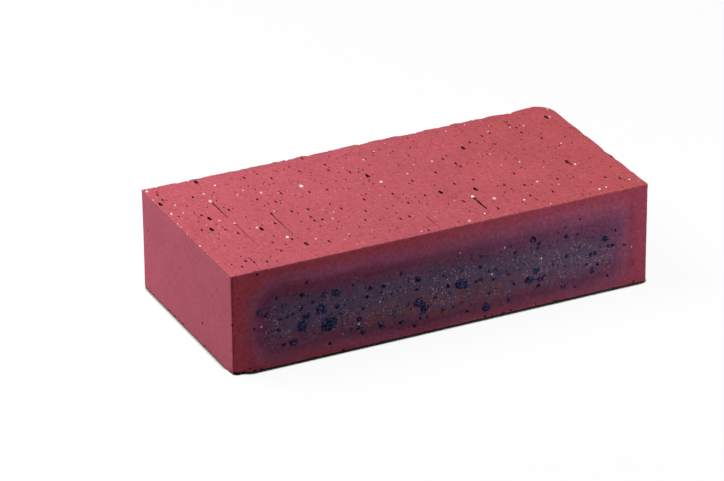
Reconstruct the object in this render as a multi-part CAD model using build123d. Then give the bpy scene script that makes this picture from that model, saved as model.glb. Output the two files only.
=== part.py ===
from build123d import *

import os

# Solid clay brick: a clay column pushed through a die, cut to height by a wire, dried and fired.
# Millimetres, +Z up. The origin is at the middle of the lower bed face.
# X runs along the length, from the left header to the right header.
# Y runs along the width, from the front stretcher to the back stretcher.

# Fired size of the brick
LENGTH = 228.0
WIDTH = 108.0
HEIGHT = 54.0

# Upright arrises: three keep the die's corner, the back right one was blunted while soft
DIE_RADIUS = 0.9
BLUNT_RADIUS = 10.0

# Edges of the two bed faces, which the cutting wire leaves nearly sharp
WIRE_EDGE_RADIUS = 0.5

# Spall at the lower front left corner: its reach along each of the three edges that meet there
SPALL_ALONG_STRETCHER = 9.5
SPALL_ALONG_HEADER = 5.5
SPALL_UP = 2.0


def column_section():
    """Section of the clay column as it leaves the die, seen in plan."""
    half_length = LENGTH / 2
    half_width = WIDTH / 2
    blunted_corner = (half_length, half_width)
    die_corners = [
        (-half_length, half_width),
        (-half_length, -half_width),
        (half_length, -half_width),
    ]
    with BuildSketch() as section:
        Rectangle(LENGTH, WIDTH)
        fillet(section.vertices().sort_by_distance(blunted_corner)[0], BLUNT_RADIUS)
        for corner in die_corners:
            fillet(section.vertices().sort_by_distance(corner)[0], DIE_RADIUS)
    return section.sketch


def wire_cut_block():
    """One brick's height of the column, with the edges of both beds as the wire leaves them."""
    block = extrude(column_section(), HEIGHT)
    beds = block.faces().filter_by(Axis.Z)
    return fillet(beds.edges(), WIRE_EDGE_RADIUS)


def fracture_plane():
    """Plane that the corner broke along, facing into the brick."""
    corner = Vector(-LENGTH / 2, -WIDTH / 2, 0)
    on_stretcher = corner + Vector(SPALL_ALONG_STRETCHER, 0, 0)
    on_header = corner + Vector(0, SPALL_ALONG_HEADER, 0)
    on_upright = corner + Vector(0, 0, SPALL_UP)
    along = on_header - on_stretcher
    inwards = along.cross(on_upright - on_stretcher)
    return Plane(origin=on_stretcher, x_dir=along, z_dir=inwards)


def brick():
    """The whole brick, with its spalled corner gone."""
    return split(wire_cut_block(), bisect_by=fracture_plane(), keep=Keep.TOP)


os.makedirs("parts", exist_ok=True)
export_step(brick(), "parts/brick.step")
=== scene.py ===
import math

import bmesh
import bpy
from mathutils import Matrix, Vector, noise


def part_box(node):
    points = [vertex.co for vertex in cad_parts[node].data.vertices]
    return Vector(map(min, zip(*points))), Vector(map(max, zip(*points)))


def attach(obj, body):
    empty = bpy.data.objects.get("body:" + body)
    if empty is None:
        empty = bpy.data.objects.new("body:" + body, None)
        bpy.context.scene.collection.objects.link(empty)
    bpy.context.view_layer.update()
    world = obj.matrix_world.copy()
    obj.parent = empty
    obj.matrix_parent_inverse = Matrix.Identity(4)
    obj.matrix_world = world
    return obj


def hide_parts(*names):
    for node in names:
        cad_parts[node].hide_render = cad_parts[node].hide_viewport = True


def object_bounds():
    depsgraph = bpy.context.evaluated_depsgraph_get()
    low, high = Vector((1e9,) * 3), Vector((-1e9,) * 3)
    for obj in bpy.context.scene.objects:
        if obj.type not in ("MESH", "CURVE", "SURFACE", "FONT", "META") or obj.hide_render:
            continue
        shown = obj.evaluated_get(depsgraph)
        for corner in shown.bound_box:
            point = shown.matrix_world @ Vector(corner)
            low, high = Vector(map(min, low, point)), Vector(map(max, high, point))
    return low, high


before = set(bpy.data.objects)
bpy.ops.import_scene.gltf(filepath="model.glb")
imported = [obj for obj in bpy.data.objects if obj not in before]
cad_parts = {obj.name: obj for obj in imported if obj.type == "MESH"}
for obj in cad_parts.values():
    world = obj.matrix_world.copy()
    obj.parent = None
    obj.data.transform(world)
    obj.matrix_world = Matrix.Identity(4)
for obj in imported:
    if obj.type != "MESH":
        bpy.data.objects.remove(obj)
cad_low, cad_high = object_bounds()


# The clay body: one column of clay, pushed through a die, cut to height by a wire, dried and fired.
# Its die faces are smooth and a little bowed, its beds are as the wire left them, and one corner broke off.
# It takes its form from the solid brick and adds the bow, the uneven arrises and the rough fracture.
MM = 0.001
GRID_STEPS = (2.5 * MM, 3.0 * MM, 4.0 * MM)  # along the length, the width and the height
RIM_STEPS = (0.6 * MM, 1.6 * MM)  # closer rows of points beside each arris
SAME_POINT = 0.001 * MM
FLAT_ANGLE = math.radians(0.5)
BOW_DEPTH = 0.25 * MM
BOW_SPAN = 50.0 * MM
ARRIS_DEPTH = 0.2 * MM            # how far the arrises wander inwards
TORN_DEPTH = 0.3 * MM             # the same where the wire tore them: the middle of it, and its swing
TORN_SWING = 1.0 * MM
TORN_FADE = 40.0 * MM             # from the front, over which the tear grows
ARRIS_SPAN = 4.0 * MM
ARRIS_REACH = 1.8 * MM
FRACTURE_SLOPES = (-0.1, -0.3, -0.6)  # the normal of the fracture is below these along x, y and z
FRACTURE_DEPTH = 0.4 * MM
FRACTURE_SPAN = 2.4 * MM
SWELL_OUT = 0.5 * MM              # clay pushed out behind the blunted corner, and the hollow beside it
SWELL_FROM_END = 9.0 * MM
HOLLOW_IN = 0.9 * MM
HOLLOW_FROM_END = 21.0 * MM
SWELL_REACH = 8.0 * MM
SWELL_AT_FOOT = 0.3               # its share at the lower bed
BED_SLOPE = 0.97                  # least upright part of the normal of a face of the beds
BED_REACH = 4.0 * MM              # how near to a bed, and to a side, the points of its rim lie
SIDE_REACH = 2.0 * MM


def gridded_copy(node):
    """The solid's surface, with its flat faces cut into a grid of small faces."""
    surface = bmesh.new()
    surface.from_mesh(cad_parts[node].data)
    bmesh.ops.remove_doubles(surface, verts=surface.verts, dist=SAME_POINT)
    bmesh.ops.dissolve_limit(
        surface, angle_limit=FLAT_ANGLE, verts=surface.verts, edges=surface.edges
    )
    low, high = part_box(node)
    for axis in range(3):
        span = high[axis] - low[axis]
        count = round(span / GRID_STEPS[axis])
        places = [low[axis] + span * step / count for step in range(1, count)]
        for inset in RIM_STEPS:
            places += [low[axis] + inset, high[axis] - inset]
        across = Vector((0, 0, 0))
        across[axis] = 1
        for place in places:
            bmesh.ops.bisect_plane(
                surface,
                geom=surface.verts[:] + surface.edges[:] + surface.faces[:],
                dist=0.0001 * MM,
                plane_co=across * place,
                plane_no=across,
            )
    surface.normal_update()
    return surface


def fracture_faces(surface):
    """The faces of the broken corner, the only flat ones that slope along all three axes."""
    return [
        face for face in surface.faces
        if all(face.normal[axis] < FRACTURE_SLOPES[axis] for axis in range(3))
    ]


def arris_closeness(point, low, high):
    """1 on an arris, falling to 0 at ARRIS_REACH from it."""
    gaps = sorted(min(point[i] - low[i], high[i] - point[i]) for i in range(3))
    return max(0.0, 1 - math.hypot(max(gaps[0], 0), max(gaps[1], 0)) / ARRIS_REACH)


def weathered(surface, node):
    """Moves the points by the bow of the faces, the wander of the arrises, the fracture and the swelling."""
    low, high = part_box(node)
    broken = surface.faces.layers.float.new("broken")
    fractured = set()
    for face in fracture_faces(surface):
        face[broken] = 1.0
        fractured.update(face.verts)
    moves = []
    for point in surface.verts:
        place = point.co
        inwards = (noise.noise(place / BOW_SPAN) - 1) / 2 * BOW_DEPTH
        torn = place.z > high.z - ARRIS_REACH and max(place.x - high.x, place.y - high.y) > -ARRIS_REACH
        wander = (noise.noise(place / ARRIS_SPAN) - 1) / 2 * ARRIS_DEPTH
        if torn:
            fades = min(1.0, (place.y - low.y) / TORN_FADE)
            wander = min(0.0, noise.noise(place / ARRIS_SPAN) * TORN_SWING - TORN_DEPTH) * fades
        inwards += wander * arris_closeness(place, low, high)
        if point in fractured:
            inwards += (noise.noise(place / FRACTURE_SPAN) - 1) / 2 * FRACTURE_DEPTH
        from_end = high.x - place.x
        back = max(0.0, 1 - (high.y - place.y) / SWELL_REACH)
        up = (place.z - low.z) / (high.z - low.z)
        grows = SWELL_AT_FOOT + (1 - SWELL_AT_FOOT) * up
        swell = SWELL_OUT * math.exp(-(((from_end - SWELL_FROM_END) / SWELL_REACH) ** 2))
        swell -= HOLLOW_IN * math.exp(-(((from_end - HOLLOW_FROM_END) / SWELL_REACH) ** 2))
        moves.append(point.normal * inwards + Vector((0, swell * back * back * grows, 0)))
    for point, move in zip(surface.verts, moves):
        point.co += move


def put(name, data):
    """A new object in the scene."""
    made = bpy.data.objects.new(name, data)
    bpy.context.scene.collection.objects.link(made)
    return made


def rim_object(name, edges):
    """A loose line along the given edges, for what follows an arris."""
    places = {}
    for edge in edges:
        for point in edge.verts:
            places.setdefault(point, len(places))
    lines = bpy.data.meshes.new(name)
    lines.from_pydata(
        [point.co for point in places], [[places[point] for point in edge.verts] for edge in edges], []
    )
    return put(name, lines)


body_surface = gridded_copy("brick")
weathered(body_surface, "brick")
body_surface.normal_update()
bed_rim = [
    edge for edge in body_surface.edges
    if sum(abs(face.normal.z) > BED_SLOPE for face in edge.link_faces) == 1
]
upper_rim = [edge for edge in bed_rim if edge.verts[0].co.z > cad_high.z - BED_REACH]
left_rim = [edge for edge in upper_rim if edge.verts[0].co.x < cad_low.x + SIDE_REACH]
other_rim = [edge for edge in upper_rim if edge not in left_rim]
front_rim = [edge for edge in other_rim if edge.verts[0].co.y < cad_low.y + SIDE_REACH]
torn_rim = [edge for edge in other_rim if edge not in front_rim]
lower_rim = [edge for edge in bed_rim if edge.verts[0].co.z < cad_low.z + BED_REACH]
left_line = rim_object("left_arris", left_rim)
front_line = rim_object("front_arris", front_rim)
torn_line = rim_object("torn_arrises", torn_rim)
lower_line = rim_object("lower_arrises", lower_rim)
body_mesh = bpy.data.meshes.new("fired_brick")
body_surface.to_mesh(body_mesh)
body_surface.free()
brick = put("fired_brick", body_mesh)
fired_clay = bpy.data.materials.new("flashed_clay")


# Crumbled arrises: the wire tears small crumbs of clay from the edges of both beds and drags a thin lip
# over the left one, and handling knocks off a few more. The bites show fresh, paler clay.
def add(tree, kind, inputs=None, **settings):
    """Adds a node to a tree. An input is a plain value, or the socket that feeds it."""
    made = tree.nodes.new(kind)
    for name, value in settings.items():
        setattr(made, name, value)
    for name, value in (inputs or {}).items():
        if isinstance(name, int):
            socket = made.inputs[name]
        else:
            socket = next(s for s in made.inputs if s.name == name and s.enabled)
        if isinstance(value, bpy.types.NodeSocket):
            tree.links.new(value, socket)
        else:
            socket.default_value = value
    return made


def out(made, name=None):
    """A node's output socket, the first one that is in use unless it is named."""
    return next(s for s in made.outputs if s.enabled and name in (None, s.name))


def relief_tree(name, inputs):
    """A geometry tree with the brick in and out and the named inputs. Gives the tree and what comes in."""
    tree = bpy.data.node_groups.new(name, "GeometryNodeTree")
    tree.interface.new_socket("Brick", in_out="INPUT", socket_type="NodeSocketGeometry")
    for label, kind in inputs.items():
        tree.interface.new_socket(label, in_out="INPUT", socket_type="NodeSocket" + kind)
    tree.interface.new_socket("Brick", in_out="OUTPUT", socket_type="NodeSocketGeometry")
    return tree, tree.nodes.new("NodeGroupInput").outputs


def maths(tree, operation, first, second=0.0):
    """One sum on two numbers."""
    return out(add(tree, "ShaderNodeMath", {0: first, 1: second}, operation=operation))


def vector_maths(tree, operation, first, second):
    """One sum on a vector and another vector or, to scale it, a number."""
    other = "Scale" if operation == "SCALE" else 1
    return out(add(tree, "ShaderNodeVectorMath", {0: first, other: second}, operation=operation))


def stored(tree, geometry, name, value, domain):
    """The geometry, with a number kept under a name on its points or faces."""
    return out(add(
        tree, "GeometryNodeStoreNamedAttribute", {"Geometry": geometry, "Name": name, "Value": value},
        data_type="FLOAT", domain=domain,
    ))


def any_of(tree, low, high, seed, kind="FLOAT"):
    """A different number or vector for each point, between low and high."""
    return out(add(
        tree, "FunctionNodeRandomValue", {"Min": low, "Max": high, "Seed": seed}, data_type=kind
    ))


def lumps(tree, mark, detail, unevenness, rim=1.0):
    """Four uneven lumps of radius 1 to pick from. Their faces carry the named mark, fainter at the rim."""
    kinds = add(tree, "GeometryNodeGeometryToInstance")
    height = add(tree, "ShaderNodeSeparateXYZ", {"Vector": out(add(tree, "GeometryNodeInputPosition"))})
    strength = add(tree, "ShaderNodeMapRange", {
        "Value": out(height, "Z"), "From Min": 0.1, "From Max": 0.5, "To Min": rim, "To Max": 1.0,
    })
    for seed in range(4):
        ball = add(tree, "GeometryNodeMeshIcoSphere", {"Radius": 1.0, "Subdivisions": detail})
        bumps = add(
            tree, "ShaderNodeTexNoise", {"W": 3.7 * seed, "Scale": 0.9, "Detail": 2.0}, noise_dimensions="4D"
        )
        centred = vector_maths(tree, "SUBTRACT", out(bumps, "Color"), (0.5,) * 3)
        moved = vector_maths(tree, "SCALE", centred, unevenness)
        lump = add(tree, "GeometryNodeSetPosition", {"Geometry": out(ball), "Offset": moved})
        tree.links.new(stored(tree, out(lump), mark, out(strength), "FACE"), kinds.inputs[0])
    return out(kinds)


def mostly_small(tree, given, steepness, seed):
    """A size for each point, from the smallest to the largest, most of them small."""
    return out(add(tree, "ShaderNodeMapRange", {
        "Value": maths(tree, "POWER", any_of(tree, 0.0, 1.0, seed), steepness),
        "To Min": given["Smallest"],
        "To Max": given["Largest"],
    }))


def on_points(tree, points, kinds, turn, scale, chosen=True):
    """One of several shapes on each chosen point."""
    return out(add(tree, "GeometryNodeInstanceOnPoints", {
        "Points": points, "Selection": chosen, "Instance": kinds, "Pick Instance": True,
        "Rotation": turn, "Scale": scale,
    }))


def worked_in(tree, brick_in, shapes, operation):
    """Cuts the shapes out of the brick or fuses them to it, and ends the tree."""
    boolean = add(tree, "GeometryNodeMeshBoolean", operation=operation, solver="MANIFOLD")
    meshes = [socket for socket in boolean.inputs if socket.enabled and socket.name.startswith("Mesh")]
    tree.links.new(brick_in, meshes[0])
    tree.links.new(shapes, meshes[-1])
    whole = add(tree, "GeometryNodeRealizeInstances", {"Geometry": out(boolean)})
    finish = add(tree, "GeometryNodeSetMaterial", {"Geometry": out(whole), "Material": fired_clay})
    tree.links.new(out(finish), tree.nodes.new("NodeGroupOutput").inputs[0])


def apply_relief(tree, values):
    """Gives the brick a tree as a modifier, with its inputs set by their sockets."""
    modifier = brick.modifiers.new(tree.name, "NODES")
    modifier.node_group = tree
    for item in tree.interface.items_tree:
        if item.in_out == "INPUT" and values.get(item.name) is not None:
            modifier[item.identifier] = values[item.name]


def arris_tree(name, mark, operation):
    """Lumps strewn along a line: most of them small, a few of them large."""
    tree, given = relief_tree(name, {
        "Line": "Object", "Spacing": "Float", "Stray": "Float",
        "Smallest": "Float", "Largest": "Float", "Seed": "Int",
    })
    lines = add(tree, "GeometryNodeObjectInfo", {"Object": given["Line"]})
    curve = add(tree, "GeometryNodeMeshToCurve", {"Mesh": out(lines, "Geometry")})
    row = add(
        tree, "GeometryNodeCurveToPoints", {"Curve": out(curve), "Length": given["Spacing"]}, mode="LENGTH"
    )
    aside = any_of(tree, (-1.0,) * 3, (1.0,) * 3, given["Seed"], "FLOAT_VECTOR")
    stray = vector_maths(tree, "SCALE", aside, given["Stray"])
    strewn = add(tree, "GeometryNodeSetPosition", {"Geometry": out(row, "Points"), "Offset": stray})
    turn = any_of(tree, (0.0,) * 3, (math.tau,) * 3, 12, "FLOAT_VECTOR")
    crumbs = on_points(
        tree, out(strewn), lumps(tree, mark, 1, 1.2), turn, mostly_small(tree, given, 6.0, 11)
    )
    worked_in(tree, given["Brick"], crumbs, operation)
    return tree


bites = arris_tree("arris_bites", "broken", "DIFFERENCE")
for line, spacing, largest, seed in (
    (torn_line, 1.6, 1.3, 4),
    (front_line, 4.0, 0.6, 5),
    (left_line, 3.0, 0.6, 7),
    (lower_line, 2.6, 1.2, 6),
):
    apply_relief(bites, {
        "Line": line,
        "Spacing": spacing * MM,
        "Stray": 0.9 * MM,
        "Smallest": 0.25 * MM,
        "Largest": largest * MM,
        "Seed": seed,
    })
apply_relief(arris_tree("dragged_lip", "crumb", "UNION"), {
    "Line": left_line,
    "Spacing": 0.9 * MM,
    "Stray": 0.3 * MM,
    "Smallest": 0.14 * MM,
    "Largest": 0.5 * MM,
    "Seed": 8,
})


# Pores: small open pits where the clay held air or a grain was pulled out, drawn out along the wire's way.
# The beds have hundreds, the smooth die faces only a few, and the largest lie where the brick shows them.
LARGE_PORES = (  # x and y in mm from the middle of the upper bed
    (-112, 34.5), (-86, 50), (-101, -2.5), (-66.5, -37.5), (17.5, -15.5), (34.5, -20), (106, 39.5),
    (51, 25.5), (-97, 9), (-79, -13), (90, -13), (-6.5, 18),
)
MEDIUM_PORES = (
    (-109, 38.5), (-109, 45), (-94.5, 34.5), (-62.5, 43.5), (-50.5, 37), (-99, 14), (-84.5, 13.5),
    (-105.5, -1), (-95, -6), (-91, -12), (-70.5, -10.5), (-67.5, 0), (-57.5, -2), (-49.5, -3.5),
    (-40.5, 14), (-53.5, 19), (-70.5, -30), (-80.5, -39), (-80.5, -29), (-100.5, -41.5), (-104.5, -46),
    (-91.5, -46.5), (-55.5, -40), (-52, -12), (-52, -16.5), (-48, -17), (-34.5, 38), (-20, 39),
    (-21, 32.5), (-27, 51), (-31.5, 12.5), (25.5, 6), (11, 2.5), (-2, -19), (28, -10), (-8.5, -33),
    (-4.5, -6.5), (49.5, -22.5), (36, 18.5), (84.5, 39.5), (-67, 18), (-60, 11.5), (-12.5, 25.5),
    (-34.5, -10), (-20, -6), (-25, -18), (-29.5, -27), (-13.5, -33.5), (23, -30), (-7, -51), (38.5, -10),
    (39.5, 11), (40, 6.5), (67.5, 22.5), (57, 30), (86.5, 35), (92, 18), (86, 28.5), (58.5, -27),
    (76.5, -28), (98.5, -37), (67.5, -40), (104.5, -41.5), (29.5, -29.5), (66, 34), (71, 35.5), (9, -15),
    (34.5, -44.5), (55.5, -39), (60, -13),
)
SMALL_PORES = (
    (-108, 48), (-107.5, 37), (-101, 26.5), (-101, 18), (-103, 8), (-109.5, 17.5), (-95, -2.5),
    (-85.5, 17), (-82, 14), (-80, 2.5), (-77, -9.5), (-64.5, 1.5), (-64, 11), (-57.5, 11.5), (-58.5, 8.5),
    (-66.5, 10), (-53.5, 21.5), (-55.5, -5), (-48, 13.5), (-45.5, 11), (-54.5, 31), (-52, 31),
    (-55, 47.5), (-55, 44.5), (-45, 43), (-40.5, 43), (-37, 45), (-64.5, 34), (-63, 29), (-72.5, 40.5),
    (-71, 52), (-73.5, 30.5), (-58.5, -14.5), (-58.5, -23.5), (-77, -23), (-67.5, -30), (-82, -37),
    (-75.5, -34), (-100.5, -36), (-108, -42), (-97, -44.5), (-87.5, -42), (-87, -48.5), (-44, -39.5),
    (-102.5, -22), (-99.5, -8.5), (-102, -13.5), (-84, -10), (-37.5, -3.5), (-42, -23), (-46, -29.5),
    (-52, -23.5), (-85.5, 25.5), (-35, 52), (-11.5, 42.5), (-7, 41), (-14, 47), (-5.5, 45), (-30, 34),
    (-32, 25), (-40.5, 27), (-31, 20), (-23, 19.5), (-18, 18.5), (-17.5, 28), (-13, 27.5), (-7, 27),
    (-5.5, 25), (-8.5, 23.5), (-0.5, 28), (-3.5, 18), (1.5, 36), (6.5, 38), (17.5, 38), (15.5, 36.5),
    (8.5, 41), (21.5, 52.5), (31.5, 49), (32.5, 44), (27.5, 38), (22.5, 30), (13, 22), (-21.5, 8.5),
    (-12.5, 10), (-8.5, 11.5), (-8, 8), (-19, -1), (-16.5, -1), (-37, -3), (-4.5, 2.5), (8, 0),
    (-10.5, -19), (-4.5, -17), (-4, -12), (0, -9.5), (-0.5, -14), (4, -15), (3.5, -20), (5.5, -25),
    (-35.5, -33), (-23, -30), (-14.5, -20.5), (-12.5, -27), (15, -29.5), (-19, -41.5), (-24, -43),
    (-34, -46.5), (-7, -46.5), (10.5, -49.5), (20.5, -41.5), (18.5, -7), (39.5, 21), (59.5, 50), (76, 53),
    (60, 43.5), (59.5, 27), (64.5, 27.5), (65, 20), (63, 18), (76, 42.5), (85.5, 43.5), (89.5, 37),
    (94.5, 23), (82, 21), (103.5, 14), (103, 6), (96, 6), (90, 6.5), (110.5, 22), (55, 12), (49.5, 6),
    (58.5, 13.5), (44.5, 8), (66.5, -8.5), (80, -7), (46, -22), (50.5, -28), (50.5, -30.5), (46, -30),
    (62, -28), (84.5, -30), (107, -27.5), (89.5, -39), (56, -44.5), (48.5, -44), (49, -46.5), (71, -32.5),
    (79, -50.5), (89.5, -49.5), (100.5, -51.5), (105.5, -44.5), (102.5, -14), (69, 3),
)
LARGE, MEDIUM, SMALL = 1.35, 0.95, 0.65  # radius in mm
BED_HEIGHT = round(cad_high.z / MM)
FRONT_Y = round(cad_low.y / MM)
DIE_FACE_PORES = (  # x, y and z in mm, and the pore's radius
    (-100, -54, 52, 0.8), (-113.6, -53.6, 28, 0.8), (-105, -54, 2.2, 0.6), (-114, 46.6, 34.4, 0.6),
    (-114, -17.8, 12.5, 0.9), (-114, 7.9, 31, 0.5), (-114, -30.2, 33, 0.6), (-114, -35.9, 39, 0.5),
    (-114, -39.6, 25.6, 0.5), (-114, -43.6, 6, 0.5), (-113.7, 53.7, 29, 0.7), (-114, 6, 0.3, 1.1),
    (-113.8, 53.5, 1.2, 0.8),
)


def keep_lengths(mesh, name, lengths):
    """Keeps a length given in mm for each point of a mesh."""
    kept = mesh.attributes.new(name, "FLOAT", "POINT")
    kept.data.foreach_set("value", [length * MM for length in lengths])


def spots(name, places):
    """Points at places given in mm, each with a size, for what is laid on the brick one by one."""
    mesh = bpy.data.meshes.new(name)
    mesh.from_pydata([(x * MM, y * MM, z * MM) for x, y, z, size in places], [], [])
    keep_lengths(mesh, "size", [place[3] for place in places])
    return put(name, mesh)


def settled(tree, points, brick_in):
    """The points moved onto the brick's surface, and the turn that stands a shape up on it there."""
    near = add(tree, "GeometryNodeProximity", {"Geometry": brick_in}, target_element="FACES")
    moved = add(tree, "GeometryNodeSetPosition", {"Geometry": points, "Position": out(near, "Position")})
    under = add(
        tree, "GeometryNodeSampleNearestSurface",
        {"Mesh": brick_in, "Value": out(add(tree, "GeometryNodeInputNormal"))}, data_type="FLOAT_VECTOR",
    )
    upright = add(tree, "FunctionNodeAlignRotationToVector", {"Vector": out(under)}, axis="Z")
    return out(moved), out(upright)


def placed(tree, given):
    """The points of the object that holds the places."""
    held = add(tree, "GeometryNodeObjectInfo", {"Object": given["Places"]})
    return out(add(tree, "GeometryNodeMeshToPoints", {"Mesh": out(held, "Geometry")}))


def point_size(tree):
    """The size that each point carries."""
    return out(add(tree, "GeometryNodeInputNamedAttribute", {"Name": "size"}, data_type="FLOAT"))


def strewn_tree(name, mark, operation, detail):
    """Lumps at given places, the large ones ragged, and more strewn in clusters over faces of one slope."""
    tree, given = relief_tree(name, {
        "Places": "Object", "Slope From": "Float", "Slope To": "Float", "Spread": "Float",
        "Cluster": "Float", "Smallest": "Float", "Largest": "Float", "Ragged From": "Float",
        "Drawn Out": "Float", "Depth": "Float", "Seed": "Int",
    })
    facing = add(tree, "ShaderNodeSeparateXYZ", {"Vector": out(add(tree, "GeometryNodeInputNormal"))})
    steep = maths(tree, "GREATER_THAN", out(facing, "Z"), given["Slope From"])
    shallow = maths(tree, "LESS_THAN", out(facing, "Z"), given["Slope To"])
    closer = maths(tree, "DIVIDE", 1.0, given["Cluster"])
    position = vector_maths(tree, "SCALE", out(add(tree, "GeometryNodeInputPosition")), closer)
    crowd = add(tree, "ShaderNodeTexNoise", {"Vector": position, "Scale": 1.0, "Detail": 1.0})
    crowded = add(
        tree, "ShaderNodeMapRange", {"Value": out(crowd), "From Min": 0.35, "From Max": 0.65, "To Max": 2.0}
    )
    sparse = maths(tree, "DIVIDE", out(crowded), maths(tree, "MULTIPLY", given["Spread"], given["Spread"]))
    cover = add(tree, "GeometryNodeDistributePointsOnFaces", {
        "Mesh": given["Brick"],
        "Selection": maths(tree, "MULTIPLY", steep, shallow),
        "Density": sparse,
        "Seed": given["Seed"],
    })
    sized = stored(tree, out(cover, "Points"), "size", mostly_small(tree, given, 2.5, 21), "POINT")
    together = add(tree, "GeometryNodeJoinGeometry")
    tree.links.new(sized, together.inputs[0])
    tree.links.new(placed(tree, given), together.inputs[0])
    ragged = maths(tree, "GREATER_THAN", point_size(tree), given["Ragged From"])
    several = add(tree, "GeometryNodeDuplicateElements", {
        "Geometry": out(together), "Amount": maths(tree, "ADD", maths(tree, "MULTIPLY", ragged, 2.0), 1.0),
    }, domain="POINT")
    lesser = maths(tree, "GREATER_THAN", out(several, "Duplicate Index"), 0.5)
    any_way = any_of(tree, (-1.0,) * 3, (1.0,) * 3, 25, "FLOAT_VECTOR")
    apart = vector_maths(tree, "SCALE", any_way, maths(tree, "MULTIPLY", point_size(tree), lesser))
    beside = add(tree, "GeometryNodeSetPosition", {"Geometry": out(several), "Offset": apart})
    smaller = maths(tree, "SUBTRACT", 1.0, maths(tree, "MULTIPLY", lesser, 0.4))
    reduced = maths(tree, "MULTIPLY", point_size(tree), smaller)
    uneven = stored(tree, out(beside), "size", reduced, "POINT")
    laid, upright = settled(tree, uneven, given["Brick"])
    swing = add(tree, "ShaderNodeCombineXYZ", {"Z": any_of(tree, -0.5, 0.5, 22)})
    swung = add(tree, "FunctionNodeRotateRotation", {
        "Rotation": upright,
        "Rotate By": out(add(tree, "FunctionNodeEulerToRotation", {"Euler": out(swing)})),
    }, rotation_space="LOCAL")
    drawn = maths(tree, "SQRT", given["Drawn Out"])
    stretch = add(tree, "ShaderNodeCombineXYZ", {
        "X": maths(tree, "DIVIDE", any_of(tree, 0.85, 1.15, 23), drawn),
        "Y": maths(tree, "MULTIPLY", any_of(tree, 0.85, 1.25, 24), drawn),
        "Z": given["Depth"],
    })
    scale = vector_maths(tree, "SCALE", out(stretch), point_size(tree))
    grains = on_points(tree, laid, lumps(tree, mark, detail, 1.25), out(swung), scale)
    worked_in(tree, given["Brick"], grains, operation)
    return tree


def strew(tree, places, slope, spread, smallest, largest, ragged_from, drawn_out, cluster, depth, seed):
    """Works lumps into the brick. Lengths are given in mm."""
    apply_relief(tree, {
        "Places": places,
        "Slope From": slope[0],
        "Slope To": slope[1],
        "Spread": spread * MM,
        "Cluster": cluster * MM,
        "Smallest": smallest * MM,
        "Largest": largest * MM,
        "Ragged From": ragged_from * MM,
        "Drawn Out": drawn_out,
        "Depth": depth,
        "Seed": seed,
    })


UPPER, LOWER = (BED_SLOPE, 1.1), (-1.1, -BED_SLOPE)  # slopes of the beds, and of the die faces
UPRIGHT = (-0.03, 0.03)
large_pores = spots("large_pores", [(x, y, BED_HEIGHT, LARGE) for x, y in LARGE_PORES])
small_pores = spots(
    "small_pores",
    [(x, y, BED_HEIGHT, MEDIUM) for x, y in MEDIUM_PORES]
    + [(x, y, BED_HEIGHT, SMALL) for x, y in SMALL_PORES],
)
die_pores = spots("die_pores", DIE_FACE_PORES)
round_pores = strewn_tree("round_pores", "pit", "DIFFERENCE", 2)
rough_pores = strewn_tree("rough_pores", "pit", "DIFFERENCE", 1)
for tree, places, slope, spread, smallest, largest, ragged_from, drawn_out, seed in (
    (round_pores, large_pores, LOWER, 22.0, 0.5, 1.2, 1.2, 2.4, 2),
    (rough_pores, small_pores, UPPER, 8.0, 0.20, 0.50, 0.8, 2.4, 3),
    (rough_pores, None, LOWER, 12.0, 0.2, 0.6, 0.8, 2.4, 4),
    (rough_pores, die_pores, UPRIGHT, 26.0, 0.15, 0.42, 1.0, 1.0, 14),
):
    strew(
        tree, places, slope, spread, smallest, largest, ragged_from, drawn_out,
        cluster=22.0, depth=0.9, seed=seed,
    )


# Drag marks: where the wire caught a hard grain, it pulled it through the clay and left a groove.
# Each one starts wide at its grain and thins out towards the front stretcher.
DRAG_MARKS = (  # x and y in mm where the mark starts, its length and its width
    (-88.5, 24.5, 19, 0.8), (-88, -2.5, 27, 0.38), (-67.5, 0.5, 26, 0.6), (-97.5, -38.5, 10.5, 0.5),
    (29.5, -28.5, 14, 1.6), (-1, -37, 14.5, 0.45), (90.5, -11, 6, 1.3), (-6.5, 18, 6, 0.4),
    (56, -42, 4, 0.4), (84.5, 46, 14, 0.35), (39, 11, 6.5, 0.5),
)
LOWER_DRAG_MARKS = (
    (-74, 31, 21, 0.7), (12, 4, 14, 0.9), (55, 38, 24, 0.5), (96, -8, 11, 0.8), (-31, -19, 16, 0.6),
)


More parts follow.
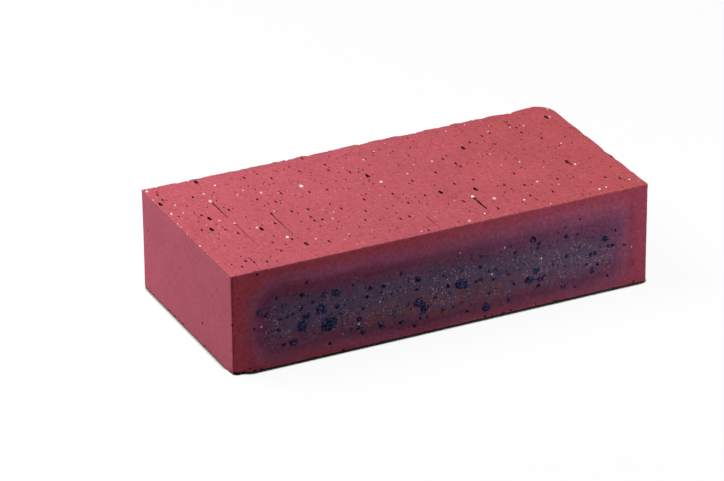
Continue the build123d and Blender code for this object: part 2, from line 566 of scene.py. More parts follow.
def drag_tree():
    """Tapered grooves at given places, along the wire's way."""
    tree, given = relief_tree("drag_marks", {"Places": "Object", "Depth": "Float"})
    taper = add(tree, "GeometryNodeMeshCone", {
        "Vertices": 7, "Side Segments": 12, "Radius Top": 0.3, "Radius Bottom": 0.5, "Depth": 1.0,
    })
    along = vector_maths(tree, "MULTIPLY", out(add(tree, "GeometryNodeInputPosition")), (1.0, 1.0, 9.0))
    bumps = add(tree, "ShaderNodeTexNoise", {"Vector": along, "Scale": 1.0, "Detail": 1.0})
    shake = vector_maths(tree, "SUBTRACT", out(bumps, "Color"), (0.5,) * 3)
    uneven = vector_maths(tree, "MULTIPLY", shake, (0.5, 0.5, 0.0))
    rough = add(tree, "GeometryNodeSetPosition", {"Geometry": out(taper), "Offset": uneven})
    lying = add(
        tree, "GeometryNodeTransform", {"Geometry": out(rough), "Rotation": (math.radians(90), 0, 0)}
    )
    groove = stored(tree, out(lying), "pit", 1.0, "FACE")
    laid, upright = settled(tree, placed(tree, given), given["Brick"])
    length = out(add(tree, "GeometryNodeInputNamedAttribute", {"Name": "length"}, data_type="FLOAT"))
    stretch = add(tree, "ShaderNodeCombineXYZ", {
        "X": point_size(tree), "Y": length, "Z": maths(tree, "MULTIPLY", point_size(tree), given["Depth"]),
    })
    grooves = add(tree, "GeometryNodeInstanceOnPoints", {
        "Points": laid, "Instance": groove, "Scale": out(stretch),
    })
    worked_in(tree, given["Brick"], out(grooves), "DIFFERENCE")
    return tree


def drag_places(name, marks, height):
    """Points where drag marks start, with their widths and lengths."""
    made = spots(name, [(x, y, height, width) for x, y, length, width in marks])
    keep_lengths(made.data, "length", [mark[2] for mark in marks])
    return made


upper_drags = drag_places("upper_drag_marks", DRAG_MARKS, BED_HEIGHT)
lower_drags = drag_places("lower_drag_marks", LOWER_DRAG_MARKS, 0)
drag_marks = drag_tree()
for places in (upper_drags, lower_drags):
    apply_relief(drag_marks, {"Places": places, "Depth": 1.1})


# Grog: hard grains of white and pink fired clay, mixed in to stop the brick from cracking as it dries.
# The wire lays them bare on the beds, and a few show through the skin of the front stretcher.
BED_GROG = (  # x and y in mm from the middle of the bed, and the grain's radius
    (-112, 51, 0.9), (-106, 30, 0.7), (-106, 20, 0.6), (-111.5, 22, 0.7), (-88, 35.5, 0.7),
    (-79, 42, 0.7), (-73.5, 27, 0.7), (-62, 24, 1.1), (-69, 30.5, 0.5), (-41, 22, 1.3), (-93.5, 4.5, 0.8),
    (-71.5, -27, 1.0), (-80.3, -11, 0.9), (-39.5, -12, 0.6), (-43, -7, 0.6), (-65, 2, 0.6),
    (-60, -35, 0.6), (-43.5, -37.5, 0.6), (-44.5, -49, 0.5), (-43, -18.5, 0.6), (-3.5, 8.5, 1.0),
    (12.5, 11, 0.6), (30, 18.5, 0.6), (20, 19, 0.5), (0, 35.5, 0.6), (9, 42, 0.5), (15.5, -51, 1.2),
    (38, -34, 1.2), (-10.5, -50.5, 0.6), (19.5, -27, 0.5), (26, -47, 0.6), (52.5, 47.5, 0.6),
    (64.5, 50, 0.6), (71.5, 37, 0.6), (91, 35.5, 0.8), (84, 37, 0.6), (108, 39, 0.8), (111.5, 48, 0.9),
    (60, 13, 0.6), (69, -2, 0.6), (59, -1.5, 0.5), (98, 8, 0.6), (66, -26.5, 0.7), (50.5, -42, 0.7),
    (89.5, -48, 0.8), (108, -45, 0.6), (93.5, -47.5, 0.6), (74, -34, 0.6), (60, -52, 0.5),
    (-88.5, 26.5, 1.2), (-88, -1.4, 0.8), (29.5, -27, 1.2), (92.5, -17, 0.8), (-113.2, 40.3, 0.5),
    (-113.2, 10.5, 0.45), (-113, 6.5, 0.5), (-113.3, -1.5, 0.5), (-113.3, -16.5, 0.5),
)
FRONT_GROG = (  # x and z in mm, and the grain's radius
    (-98.5, 23.5, 0.5), (26.5, 23.5, 0.6), (54, 26, 0.6), (-35, 22.5, 0.6), (9, 39, 0.4), (105, 21, 0.4),
    (33.5, 36.5, 0.5), (-46.5, 13, 0.6),
)
FRONT_GRAINS = (  # x and z in mm of the smallest ones
    (-91.8, 25.2), (-90.2, 23.5), (-94.3, 26.3), (-47.7, 38.5), (-45.2, 15.2), (25.3, 23.5), (27.7, 21.8),
    (28.4, 24.9), (-26, 22.7), (-21, 24.3), (64, 24.3), (74.8, 29.3), (-5.2, 28.5), (-83, 14.5), (-85.5, 17),
    (40.5, 24), (44, 19.5), (58.5, 22.5), (-29, 16), (-55, 9.5), (6.5, 15.5), (-70, 12), (71, 22),
)
FRONT_GRAIN = 0.28  # radius in mm
grain_spots = spots("grain_spots", [(x, FRONT_Y, z, FRONT_GRAIN) for x, z in FRONT_GRAINS])
grog_spots = spots(
    "grog_spots",
    [(x, y, BED_HEIGHT, size) for x, y, size in BED_GROG]
    + [(x, FRONT_Y, z, size) for x, z, size in FRONT_GROG],
)
for tree, places, slope, spread, smallest, largest, seed in (
    (strewn_tree("grog", "grain", "UNION", 2), grog_spots, LOWER, 24.0, 0.5, 1.2, 31),
    (strewn_tree("fine_grog", "grain", "UNION", 1), grain_spots, UPPER, 12.0, 0.15, 0.4, 32),
):
    strew(
        tree, places, slope, spread, smallest, largest, ragged_from=5.0, drawn_out=1.7,
        cluster=25.0, depth=0.16, seed=seed,
    )


# Iron spots: grains of iron ore that melted out of the front stretcher in the smoky end of the firing.
# Each one is a flat, blue-black crust of fused beads, from pinheads to patches 8 mm across.
IRON_SPOTS = (  # x and z in mm on the front stretcher, and the spot's radius
    (-62.5, 17, 4.2), (-76.5, 19, 3.2), (-74.5, 23.5, 2.0), (-66.5, 26, 2.8), (-58.5, 33, 2.2),
    (-65, 33, 1.4), (-76, 35.5, 1.6), (-74, 42, 0.9), (-90, 37, 1.0), (-84.5, 37.5, 0.6),
    (-99.5, 31, 1.6), (-95.5, 29, 1.3), (-87, 32, 0.9), (-88.5, 25.5, 1.2), (-85, 25.5, 0.6),
    (-92, 27.5, 0.6), (-77, 28, 1.0), (-81.5, 26.5, 0.8), (-71, 30.5, 1.0), (-58, 25.5, 1.3),
    (-55.5, 21, 1.0), (-55.5, 16, 0.5), (-46, 15.5, 1.6), (-46, 11, 1.6), (-44, 8, 1.4), (-50.5, 11, 1.0),
    (-44, 21, 1.1), (-40, 31, 1.2), (-41.5, 27, 1.1), (-42.5, 31.5, 0.7), (-81.5, 11, 2.2),
    (-86.5, 11, 1.2), (-89, 19.5, 1.0), (-102, 23, 0.7), (-62, 6, 1.0), (-49.5, 35, 0.8),
    (-33, 30.5, 1.2), (-34, 27.5, 0.7), (-23, 35, 0.9), (-28, 25.5, 0.8), (-14, 30, 1.6),
    (-14.5, 24.5, 0.9), (-20, 16.5, 0.7), (-13.5, 17, 2.9), (-10.5, 13.5, 2.2), (-11.5, 11, 1.2),
    (-34, 9, 2.0), (-23, 8.5, 1.5), (-16, 5, 1.1), (-12.5, 8, 0.9), (-9, 8, 0.6), (-4.5, 18, 1.0),
    (0, 29, 0.9), (2.5, 22.5, 1.3), (3.5, 18.5, 0.7), (10, 22, 3.4), (0, 10.5, 1.2), (5.5, 10, 0.8),
    (13, 6.5, 0.8), (20.5, 29, 1.3), (20.5, 34.5, 0.8), (24, 34, 0.7), (18, 21.5, 0.9), (20.5, 22, 1.1),
    (27.5, 20.5, 1.1), (29, 25.5, 1.1), (25, 25.5, 0.9), (23.5, 6, 2.3), (25, 13.5, 1.2),
    (35.5, 21.5, 0.9), (39, 15.5, 1.1), (36.5, 36.5, 0.9), (39.5, 32.5, 0.9), (36, 7.5, 1.0),
    (10.5, 29.5, 0.8), (49.5, 37.5, 1.8), (52.5, 34.5, 1.0), (52, 32, 0.8), (68, 35, 1.3),
    (67.5, 40, 0.6), (75.5, 43, 0.6), (74.5, 35, 0.6), (63.5, 38, 0.6), (90, 29, 1.7), (92, 24.5, 1.2),
    (94.5, 24.5, 1.2), (101, 23, 1.0), (96, 32, 0.7), (82, 22, 1.2), (84.5, 22, 1.1), (68.5, 24, 1.2),
    (61, 21, 0.8), (67.5, 19, 0.6), (51.5, 20, 2.0), (47.5, 15.5, 2.6), (53.5, 15, 1.7), (56, 16, 0.7),
    (52.5, 11, 1.2), (79.5, 17, 0.9), (86, 15.5, 0.9), (83, 12.5, 1.4), (66.5, 7.5, 1.5), (73.5, 6, 0.9),
    (91.5, 8, 0.7),
)
LARGE_CRUST = 2.1 * MM


def iron_tree():
    """A flat crust at each place, ringed and covered by beads."""
    tree, given = relief_tree("iron_spots", {
        "Places": "Object", "Crust Height": "Float", "Beads Across": "Float",
        "Smallest Bead": "Float", "Largest Bead": "Float", "Seed": "Int",
    })
    laid, upright = settled(tree, placed(tree, given), given["Brick"])
    wide = maths(tree, "MULTIPLY", point_size(tree), any_of(tree, 0.85, 1.1, 41))
    tall = maths(tree, "MULTIPLY", point_size(tree), any_of(tree, 0.75, 1.0, 42))
    flat = add(tree, "ShaderNodeCombineXYZ", {"X": wide, "Y": tall, "Z": given["Crust Height"]})
    large = maths(tree, "GREATER_THAN", point_size(tree), LARGE_CRUST)
    together = add(tree, "GeometryNodeJoinGeometry")
    for detail, chosen in ((3, large), (2, maths(tree, "SUBTRACT", 1.0, large))):
        crusts = lumps(tree, "iron", detail, 1.2, 0.35)
        tree.links.new(on_points(tree, laid, crusts, upright, out(flat), chosen), together.inputs[0])
    spread = maths(tree, "DIVIDE", point_size(tree), given["Largest Bead"])
    count = maths(tree, "MULTIPLY", maths(tree, "MULTIPLY", spread, spread), given["Beads Across"])
    many = add(tree, "GeometryNodeDuplicateElements", {
        "Geometry": laid, "Amount": maths(tree, "ADD", count, 3.0),
    }, domain="POINT")
    turn = any_of(tree, 0.0, math.tau, given["Seed"])
    reach = maths(tree, "MULTIPLY", point_size(tree), maths(tree, "POWER", any_of(tree, 0.0, 1.3, 44), 0.5))
    aside = add(tree, "ShaderNodeCombineXYZ", {
        "X": maths(tree, "MULTIPLY", reach, maths(tree, "COSINE", turn)),
        "Z": maths(tree, "MULTIPLY", reach, maths(tree, "SINE", turn)),
    })
    around = add(tree, "GeometryNodeSetPosition", {"Geometry": out(many), "Offset": out(aside)})
    turned = any_of(tree, (0.0,) * 3, (math.tau,) * 3, 45, "FLOAT_VECTOR")
    size = any_of(tree, given["Smallest Bead"], given["Largest Bead"], 46)
    beads = on_points(tree, out(around), lumps(tree, "iron", 1, 0.8), turned, size)
    tree.links.new(beads, together.inputs[0])
    worked_in(tree, given["Brick"], out(together), "UNION")
    return tree


iron_spots = spots("iron_spots", [(x, FRONT_Y, z, size) for x, z, size in IRON_SPOTS])
apply_relief(iron_tree(), {
    "Places": iron_spots,
    "Crust Height": 0.28 * MM,
    "Beads Across": 0.6,
    "Smallest Bead": 0.16 * MM,
    "Largest Bead": 0.42 * MM,
    "Seed": 47,
})


# The fired skin: the iron in the clay burns to red, paler on the cut beds than on the smooth die faces.
# The front stretcher was starved of air in the kiln, which flashed it dark purple inside a red margin.
BED_CLAY = (0.527, 0.107, 0.135, 1)        # at the left end, and at the right end
BED_CLAY_RIGHT = (0.534, 0.102, 0.117, 1)
DIE_SKIN = (0.545, 0.126, 0.183, 1)
FRONT_SKIN = (0.435, 0.065, 0.098, 1)
FRONT_SKIN_RIGHT = (0.445, 0.077, 0.128, 1)
FRESH_CLAY = (0.62, 0.17, 0.18, 1)
# crumbs of the dragged lip: paler clay, partly painted highlight along the lit left arris
CRUMB_PINK_AND_HIGHLIGHT = (0.80, 0.42, 0.44, 1)
# the dark in pores and grooves: dark clay, with painted shade that deepens the hollows
PORE_DARK_AND_SHADE = (0.012, 0.004, 0.006, 1)
GROG_WHITE = (0.90, 0.84, 0.82, 1)
GROG_PINK = (0.78, 0.40, 0.42, 1)
FLASH_LEFT, FLASH_RIGHT = -106.0, 107.5    # edges of the flash on the front stretcher, in mm
FLASH_TOP, FLASH_BOTTOM, FLASH_BOTTOM_ENDS = 47.6, -2.5, 2.0
FLASH_CORNER = 16.0
FLASH_DEPTHS = (                           # mm inwards from the edge of the flash, and the colour there
    (0.0, (0.385, 0.088, 0.162, 1)), (4.0, (0.312, 0.082, 0.150, 1)), (6.0, (0.246, 0.068, 0.130, 1)),
    (9.0, (0.190, 0.054, 0.108, 1)), (13.0, (0.152, 0.062, 0.119, 1)), (17.0, (0.124, 0.070, 0.134, 1)),
    (24.0, (0.118, 0.071, 0.141, 1)),
)
FLASH_RIM_LEFT = (1.0, 0.78, 0.84, 1)      # tint of its outer part, at each end
FLASH_RIM_RIGHT = (1.0, 1.06, 1.10, 1)
FLASH_END_LEFT = (0.95, 0.84, 0.76, 1)     # and of its redder ends
FLASH_END_RIGHT = (0.88, 0.70, 0.68, 1)
FLASH_INDIGO = (0.110, 0.045, 0.150, 1)
FLASH_BROWN = (0.220, 0.063, 0.072, 1)
FLASH_VEIL = (0.50, 0.30, 0.40, 1)
FLASH_COOL = (0.88, 1.0, 1.12, 1)          # tints of the grains in its core
FLASH_WARM = (1.14, 1.0, 0.88, 1)
CRYSTALS = (0.52, 0.45, 0.54, 1)
IRON_CRUST = (0.055, 0.055, 0.150, 1)
IRON_DARK = (0.007, 0.004, 0.032, 1)
# light specks on the iron crust are painted highlights
IRON_PAINTED_GLINT = (0.220, 0.230, 0.380, 1)
BED_SPECKS = (                             # spacing in mm, radius to spacing, share, strength and colour
    # pinholes are painted dark dots: dark clay with painted shade
    (1.5, 0.26, 0.11, 0.55, PORE_DARK_AND_SHADE),    # pinholes
    (3.0, 0.20, 0.40, 0.28, PORE_DARK_AND_SHADE),    # faint bruises
    (1.3, 0.28, 0.08, 0.40, GROG_PINK),    # sand
)
ASH_SPECKS = (
    (1.0, 0.38, 0.20, 0.70, CRYSTALS),
    (0.7, 0.36, 0.12, 0.35, CRYSTALS),     # finer dust
)
SOOT_SPECKS = ((1.5, 0.33, 0.18, 0.80, IRON_DARK),)
PAINTED_GLINT_SPECKS = ((0.8, 0.40, 0.25, 0.70, IRON_PAINTED_GLINT),)
SHEEN = 0.03                               # faint, as fired clay is matt
ROUGHNESS = 0.88                           # and how much smoother the flash and the iron are
FLASH_SMOOTHER, IRON_SMOOTHER = 0.15, 0.3
GRIT_HEIGHT = 0.12 * MM

fired_clay.use_nodes = True
clay = fired_clay.node_tree
place = vector_maths(clay, "SCALE", out(add(clay, "ShaderNodeTexCoord"), "Object"), 1 / MM)
along_x, along_y, up_z = add(clay, "ShaderNodeSeparateXYZ", {"Vector": place}).outputs


def times(first, *others):
    """The product of some numbers."""
    for other in others:
        first = maths(clay, "MULTIPLY", first, other)
    return first


def plus(first, *others):
    """The sum of some numbers."""
    for other in others:
        first = maths(clay, "ADD", first, other)
    return first


def minus(first, second):
    """One number less another."""
    return maths(clay, "SUBTRACT", first, second)


def larger(first, second):
    """The larger one of two numbers."""
    return maths(clay, "MAXIMUM", first, second)


def change(value, start, end, tree=clay):
    """0 up to start and 1 from end on, with a smooth change between them."""
    return out(add(
        tree, "ShaderNodeMapRange", {"Value": value, "From Min": start, "From Max": end},
        interpolation_type="SMOOTHSTEP",
    ))


def patches(span, seed, detail=2.0, where=place):
    """Cloudy patches about span mm across, as a number around 0.5."""
    return out(add(
        clay, "ShaderNodeTexNoise", {"Vector": where, "W": seed, "Scale": 1 / span, "Detail": detail},
        noise_dimensions="4D",
    ))


def swings(span, seed, detail=2.0):
    """The same as a number around 0."""
    return minus(patches(span, seed, detail), 0.5)


def painted(amount, under, over, blend="MIX"):
    """One colour laid over another or, to tint it, multiplied with it."""
    return out(add(
        clay, "ShaderNodeMix", {"Factor": amount, "A": under, "B": over}, data_type="RGBA", blend_type=blend
    ))


def ramp(value, steps):
    """A colour for each of some values in mm, blended between them."""
    reach = steps[-1][0]
    made = add(clay, "ShaderNodeValToRGB", {"Fac": maths(clay, "DIVIDE", value, reach)})
    stops = made.color_ramp.elements
    stops[0].position = steps[0][0] / reach
    stops[0].color = steps[0][1]
    stops[-1].color = steps[-1][1]
    for depth, colour in steps[1:-1]:
        stops.new(depth / reach).color = colour
    return out(made)


def specks_group():
    """Small round specks strewn through the clay, as a mask."""
    tree = bpy.data.node_groups.new("specks", "ShaderNodeTree")
    tree.interface.new_socket("Place", in_out="INPUT", socket_type="NodeSocketVector")
    for label in ("Spacing", "Radius", "Share"):
        tree.interface.new_socket(label, in_out="INPUT", socket_type="NodeSocketFloat")
    tree.interface.new_socket("Mask", in_out="OUTPUT", socket_type="NodeSocketFloat")
    given = tree.nodes.new("NodeGroupInput").outputs
    cells = add(tree, "ShaderNodeTexVoronoi", {
        "Vector": given["Place"], "Scale": maths(tree, "DIVIDE", 1.0, given["Spacing"]),
    })
    chance = add(tree, "ShaderNodeSeparateColor", {"Color": out(cells, "Color")})
    present = maths(tree, "LESS_THAN", out(chance, "Red"), given["Share"])
    round_spot = maths(tree, "LESS_THAN", out(cells, "Distance"), given["Radius"])
    tree.links.new(
        maths(tree, "MULTIPLY", present, round_spot), tree.nodes.new("NodeGroupOutput").inputs[0]
    )
    return tree


specks = specks_group()


def speckled(colour, kinds, where):
    """A colour with kinds of specks laid over it in turn, where a mask or 1 says."""
    for spacing, radius, share, strength, tone in kinds:
        group = add(clay, "ShaderNodeGroup", node_tree=specks)
        for label, value in (("Spacing", spacing), ("Radius", radius), ("Share", share)):
            group.inputs[label].default_value = value
        clay.links.new(place, group.inputs["Place"])
        colour = painted(times(out(group), where, strength), colour, tone)
    return colour


def marked(name):
    """The mark that the relief left on a kind of face."""
    return out(add(clay, "ShaderNodeAttribute", attribute_name=name), "Fac")


half_height = BED_HEIGHT / 2
bed = change(maths(clay, "ABSOLUTE", minus(up_z, half_height)), half_height - 1.0, half_height - 0.6)
front = change(along_y, FRONT_Y + 0.8, FRONT_Y + 0.4)
towards_right = change(along_x, -100.0, 60.0)

# the wire's way shows as faint streaks across the beds
streak_place = vector_maths(clay, "MULTIPLY", place, (1.0, 0.025, 1.0))
streaks = times(patches(1.3, 1.0, where=streak_place), bed)

# the flash darkens from its edge inwards: how far a place on the front lies inside that edge, in mm
at_ends = larger(change(along_x, -25.0, -60.0), change(along_x, 78.0, 104.0))
flash_bottom = plus(times(at_ends, FLASH_BOTTOM_ENDS - FLASH_BOTTOM), FLASH_BOTTOM)
beside = larger(minus(along_x, FLASH_RIGHT - FLASH_CORNER), minus(FLASH_LEFT + FLASH_CORNER, along_x))
above = larger(minus(up_z, FLASH_TOP - FLASH_CORNER), minus(plus(flash_bottom, FLASH_CORNER), up_z))
past_corner = add(clay, "ShaderNodeCombineXYZ", {"X": larger(beside, 0.0), "Y": larger(above, 0.0)})
outside = out(add(clay, "ShaderNodeVectorMath", {0: out(past_corner)}, operation="LENGTH"), "Value")
between = maths(clay, "MINIMUM", larger(beside, above), 0.0)
even_depth = minus(FLASH_CORNER, plus(outside, between))
drift = times(swings(15.0, 2.0, 3.0), 5.0)
mottle = times(swings(2.2, 16.0), 2.5)
weaker = minus(1.0, times(change(along_x, 10.0, 105.0), 0.26))
depth = times(plus(even_depth, plus(drift, mottle)), weaker)
flash = times(change(depth, -3.0, 1.5), front)
core = times(change(depth, 4.0, 14.0), front)

# its colour by that depth, tinted along its rim and at its ends
margin = painted(towards_right, FRONT_SKIN, FRONT_SKIN_RIGHT)
smoke = ramp(depth, FLASH_DEPTHS)
rim_tint = painted(change(along_x, -80.0, 60.0), FLASH_RIM_LEFT, FLASH_RIM_RIGHT)
in_rim = times(change(depth, 14.0, 8.0), change(depth, 3.0, 6.0), change(up_z, 9.0, 16.0))
smoke = painted(in_rim, smoke, rim_tint, "MULTIPLY")
at_tip = larger(change(along_x, -100.0, -104.0), change(along_x, 101.0, 105.0))
smoke = painted(at_tip, smoke, painted(towards_right, FLASH_END_LEFT, FLASH_END_RIGHT), "MULTIPLY")
left_end = times(change(along_x, -84.0, -98.0), change(depth, 2.0, 7.0))
smoke = painted(times(left_end, 0.2), smoke, FLASH_INDIGO)

# rusty patches low in its middle, a redder strip along the floor that is also painted lighter further on,
# level bands, and warm and cool grains
low = times(change(along_x, 90.0, 15.0), change(up_z, 26.0, 16.0), change(along_x, -65.0, -45.0), core)
rusty = times(change(patches(6.0, 12.0, 3.0), 0.44, 0.60), 0.65)
smoke = painted(times(plus(rusty, 0.15), low), smoke, FLASH_BROWN)
hem_redder_and_painted_lighter = times(change(up_z, 6.5, 1.5), change(along_x, 75.0, 45.0), front)
smoke = painted(times(hem_redder_and_painted_lighter, 0.3), smoke, margin)
band_place = vector_maths(clay, "MULTIPLY", place, (0.12, 1.0, 1.0))
paler = times(change(along_x, 20.0, 70.0), change(up_z, 8.0, 18.0), 0.1)
bands = plus(times(patches(3.5, 15.0, where=band_place), 0.5), 0.75, paler)
smoke = vector_maths(clay, "SCALE", smoke, bands)
grain_tint = painted(change(patches(1.5, 17.0), 0.38, 0.62), FLASH_COOL, FLASH_WARM)
smoke = painted(core, smoke, grain_tint, "MULTIPLY")
skin = painted(flash, painted(front, DIE_SKIN, margin), smoke)

# a faint pale veil over the middle of the flash, and crystals and soot that settled on it
middle_band = times(change(up_z, 36.0, 24.0), change(up_z, 6.0, 15.0))
ash = times(core, plus(times(middle_band, 0.75), 0.25), change(patches(10.0, 3.0, 3.0), 0.30, 0.60))
skin = painted(times(core, middle_band, 0.05), skin, FLASH_VEIL)
skin = painted(times(change(patches(0.9, 13.0), 0.50, 0.70), ash, 0.10), skin, CRYSTALS)
skin = speckled(skin, ASH_SPECKS, ash)
skin = speckled(skin, SOOT_SPECKS, core)

# the cut clay of the beds, and what broke or was dragged along their edges
cut_clay = painted(change(along_x, -40.0, 120.0), BED_CLAY, BED_CLAY_RIGHT)
colour = speckled(painted(bed, skin, cut_clay), BED_SPECKS, bed)
colour = painted(times(marked("broken"), 0.35), colour, FRESH_CLAY)
# the lip's crumbs are painted pale: their own paler clay and a painted highlight along the lit left arris
colour = painted(times(marked("crumb"), 0.8), colour, CRUMB_PINK_AND_HIGHLIGHT)

# clouds, flecks and streaks in the clay, and painted light that lightens the redder strip along the floor
cloud = times(swings(24.0, 5.0), 0.22)
fleck = times(swings(1.3, 6.0), plus(times(front, 0.5), times(bed, 0.2), 0.5))
streaky = times(minus(streaks, times(bed, 0.5)), 0.18)
# the strip along the foot of the front is painted lighter here: painted light
shade = plus(cloud, fleck, streaky, times(hem_redder_and_painted_lighter, 0.1), 1.0)
colour = vector_maths(clay, "SCALE", colour, shade)

# grog, the dark of the pores and grooves, which is their dark clay with painted shade in the hollows, and
# the iron
grog_tone = painted(change(patches(6.0, 7.0), 0.42, 0.58), GROG_WHITE, GROG_PINK)
colour = painted(marked("grain"), colour, grog_tone)
# how dark each pore and groove is painted: its dark clay and painted shade
hollow = plus(times(change(patches(7.0, 11.0), 0.36, 0.50), 0.28), 0.70)
colour = painted(times(marked("pit"), hollow), colour, PORE_DARK_AND_SHADE)
iron = change(plus(marked("iron"), swings(0.6, 14.0)), 0.35, 0.75)
crust = painted(change(patches(1.1, 8.0), 0.42, 0.56), IRON_CRUST, IRON_DARK)
# the iron crust, with painted glints: light specks that are painted highlights
colour = painted(iron, colour, speckled(crust, PAINTED_GLINT_SPECKS, 1.0))

shader = clay.nodes["Principled BSDF"]
clay.links.new(colour, shader.inputs["Base Color"])
shader.inputs["Specular IOR Level"].default_value = SHEEN
roughness = minus(minus(ROUGHNESS, times(flash, FLASH_SMOOTHER)), times(iron, IRON_SMOOTHER))
clay.links.new(roughness, shader.inputs["Roughness"])
grit = times(plus(patches(0.5, 9.0), patches(1.7, 10.0)), plus(times(bed, 0.6), 0.4))
height = plus(grit, times(streaks, 0.4))
bump = add(clay, "ShaderNodeBump", {"Strength": 0.5, "Distance": GRIT_HEIGHT, "Height": height})
clay.links.new(out(bump), shader.inputs["Normal"])


# The finished brick: its relief is made final, its six sides are laid out flat for the finish,
# and it takes the place of the plain solid.
SIDES = (  # axis and sense of the side, the axes along it, and where it lies in the layout, in mm
    (2, 1, 0, 1, 3, 3), (2, -1, 0, 1, 3, 114), (1, -1, 0, 2, 3, 225), (1, 1, 0, 2, 3, 282),
    (0, -1, 2, 1, 234, 3), (0, 1, 2, 1, 234, 114),
)
LAYOUT = 339.0
SHARP_ANGLE = math.radians(32)


def final_mesh():
    """The brick's mesh with its relief worked in, smooth apart from sharp edges and the relief's rims."""
    seen = brick.evaluated_get(bpy.context.evaluated_depsgraph_get())
    mesh = bpy.data.meshes.new_from_object(seen)
    brick.modifiers.clear()
    mesh.shade_smooth()
    mesh.set_sharp_from_angle(angle=SHARP_ANGLE)
    marks = [mesh.attributes[name].data for name in ("broken", "crumb", "pit", "grain", "iron")]
    kinds = {}
    for face in mesh.polygons:
        kind = tuple(mark[face.index].value > 0 for mark in marks)
        for corner in face.loop_indices:
            kinds.setdefault(mesh.loops[corner].edge_index, set()).add(kind)
    for edge in mesh.edges:
        edge.use_edge_sharp = edge.use_edge_sharp or len(kinds[edge.index]) > 1
    return mesh


def lay_out_sides(mesh):
    """A map with the six sides at one scale. Each face goes to the side that it lies on and faces with."""
    layout = mesh.uv_layers.new(name="OFBake")
    for face in mesh.polygons:
        best = None
        for axis, sense, across, along, left, low in SIDES:
            edge = cad_high[axis] if sense > 0 else cad_low[axis]
            fit = face.normal[axis] * sense - abs(face.center[axis] - edge) / MM
            if best is None or fit > best[0]:
                best = (fit, across, along, left, low)
        fit, across, along, left, low = best
        for corner in face.loop_indices:
            point = mesh.vertices[mesh.loops[corner].vertex_index].co
            layout.data[corner].uv = (
                ((point[across] - cad_low[across]) / MM + left) / LAYOUT,
                ((point[along] - cad_low[along]) / MM + low) / LAYOUT,
            )


brick.data = final_mesh()
lay_out_sides(brick.data)
for helper in (
    left_line, front_line, torn_line, lower_line, large_pores, small_pores, die_pores,
    upper_drags, lower_drags, grog_spots, grain_spots, iron_spots,
):
    bpy.data.objects.remove(helper)
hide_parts("brick")
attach(brick, "root")


# The floor: a plain white sheet that keeps the brick's shadow, with a thin dark painted contact shadow where
# they meet.
# The line is weaker below the broken corner, where painted light lightens it.
FLOOR_REACH = 6.0
FLOOR_GREY = (0.36, 0.36, 0.36, 1)
SHADOW_SHARE = 0.06
CONTACT_REACH = 5.0 * MM
CONTACT_FROM, CONTACT_TO = 0.57, 0.65  # openness where the contact shadow is full, and where it ends
LIT_FROM = {"X": -0.02, "Y": 0.45, "Z": 0.89}  # the side that the contact shadow lies away from
BREAK_FAR, BREAK_NEAR = 11.0 * MM, 4.0 * MM  # from the broken corner, where its light ends and is full
BREAK_PAINTED_LIGHT = 0.25
sheet = bpy.data.meshes.new("floor")
sheet.from_pydata(
    [(x * FLOOR_REACH, y * FLOOR_REACH, 0) for x, y in ((-1, -1), (1, -1), (1, 1), (-1, 1))],
    [],
    [(0, 1, 2, 3)],
)
floor = put("floor", sheet)
paper = bpy.data.materials.new("paper")
paper.use_nodes = True
sheet.materials.append(paper)
white = paper.node_tree
white.nodes.clear()


def seen_directly(tree):
    """1 where the camera sees a surface directly, in a reflection or through glass."""
    path = add(tree, "ShaderNodeLightPath")
    both = maths(tree, "MAXIMUM", out(path, "Is Camera Ray"), out(path, "Is Glossy Ray"))
    return maths(tree, "MAXIMUM", both, out(path, "Is Transmission Ray"))


closeness = add(white, "ShaderNodeAmbientOcclusion", {
    "Distance": CONTACT_REACH, "Normal": out(add(white, "ShaderNodeCombineXYZ", LIT_FROM)),
}, samples=16)
from_break = add(white, "ShaderNodeVectorMath", {
    0: out(add(white, "ShaderNodeTexCoord"), "Object"), 1: (cad_low.x, cad_low.y, 0),
}, operation="DISTANCE")
near_break = change(out(from_break, "Value"), BREAK_FAR, BREAK_NEAR, white)
# how open the floor is to light, with painted light added near the broken corner
openness = maths(white, "ADD", out(closeness, "AO"), maths(white, "MULTIPLY", near_break, BREAK_PAINTED_LIGHT))
lit = add(white, "ShaderNodeEmission", {
    "Color": (1, 1, 1, 1), "Strength": change(openness, CONTACT_FROM, CONTACT_TO, white),
})
shaded = add(white, "ShaderNodeBsdfDiffuse", {"Color": (1, 1, 1, 1)})
shown = add(white, "ShaderNodeMixShader", {0: SHADOW_SHARE, 1: out(lit), 2: out(shaded)})
grey = add(white, "ShaderNodeBsdfDiffuse", {"Color": FLOOR_GREY})
either = add(white, "ShaderNodeMixShader", {0: seen_directly(white), 1: out(grey), 2: out(shown)})
add(white, "ShaderNodeOutputMaterial", {"Surface": out(either)})


# The light: a large soft lamp above the brick to its left, a weak one low on its right, a reflector card
# behind its left end, and a dark room that the camera sees as white.
KEY_FROM = Vector((-0.45, 0.30, 0.85))
KEY_DISTANCE = 0.85
KEY_WIDTH = 0.5
KEY_POWER = 7.0
FILL_AT = Vector((0.45, -0.30, 0.20))
FILL_AIM = Vector((0.08, -0.05, 0.03))
FILL_WIDTH = 0.12
FILL_POWER = 1.37
CARD_AT = Vector((-0.40, 0.30, 0.16))
CARD_AIM = Vector((-0.114, 0.02, 0.04))
CARD_WIDTH = 0.2
CARD_POWER = 0.43
ROOM_LIGHT = 0.055


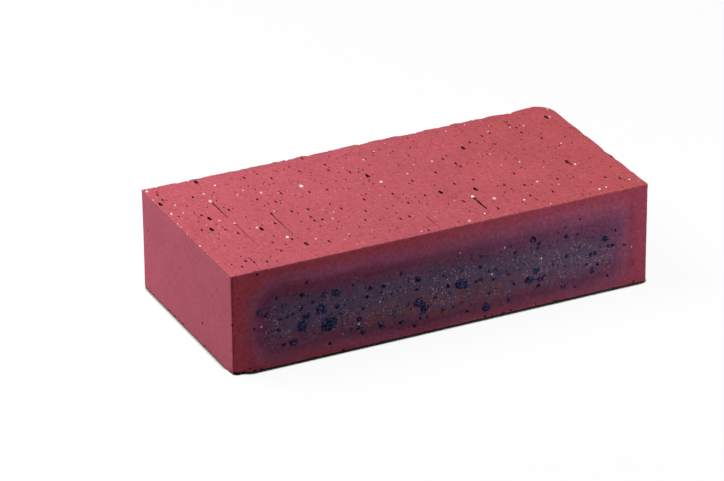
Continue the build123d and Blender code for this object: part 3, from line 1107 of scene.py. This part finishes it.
def lamp(name, place, aim, width, power):
    """A round soft lamp that looks at a point."""
    light = bpy.data.lights.new(name, "AREA")
    light.shape = "DISK"
    light.size = width
    light.energy = power
    made = put(name, light)
    made.location = place
    made.rotation_euler = (place - aim).to_track_quat("Z", "Y").to_euler()


middle = (cad_low + cad_high) / 2
lamp("key", middle + KEY_FROM.normalized() * KEY_DISTANCE, middle, KEY_WIDTH, KEY_POWER)
lamp("fill", FILL_AT, FILL_AIM, FILL_WIDTH, FILL_POWER)
lamp("card", CARD_AT, CARD_AIM, CARD_WIDTH, CARD_POWER)
room = bpy.data.worlds.new("room")
bpy.context.scene.world = room
room.use_nodes = True
air = room.node_tree
strength = add(
    air, "ShaderNodeMix", {"Factor": seen_directly(air), "A": ROOM_LIGHT, "B": 1.0}, data_type="FLOAT"
)
air.nodes["Background"].inputs["Color"].default_value = (1, 1, 1, 1)
air.links.new(out(strength), air.nodes["Background"].inputs["Strength"])
bpy.context.scene.view_settings.view_transform = "Standard"


# The camera: a long lens, as far off and as high as the lines of the brick in the picture say.
# It looks at the brick from its front left, slightly rolled and a little beside its middle.
AZIMUTH = math.radians(-25.697)
ELEVATION = math.radians(26.274)
ROLL = math.radians(-0.503)
DISTANCE = 2197.1 * MM
ASIDE = 16.525 * MM
ABOVE = 2.524 * MM
FOCAL_LENGTH = 218.74  # as the lens itself counts, in mm
SENSOR_WIDTH = 36.0
back = Vector((
    math.sin(AZIMUTH) * math.cos(ELEVATION), -math.cos(AZIMUTH) * math.cos(ELEVATION), math.sin(ELEVATION),
))
level = Vector((0, 0, 1)).cross(back).normalized()
upright = back.cross(level)
right = level * math.cos(ROLL) + upright * math.sin(ROLL)
up = upright * math.cos(ROLL) - level * math.sin(ROLL)
lens = bpy.data.cameras.new("camera")
lens.lens = FOCAL_LENGTH
lens.sensor_width = SENSOR_WIDTH
camera = put("camera", lens)
camera.matrix_world = Matrix((right, up, back)).transposed().to_4x4()
camera.location = middle + back * DISTANCE - right * ASIDE - up * ABOVE
bpy.context.scene.camera = camera
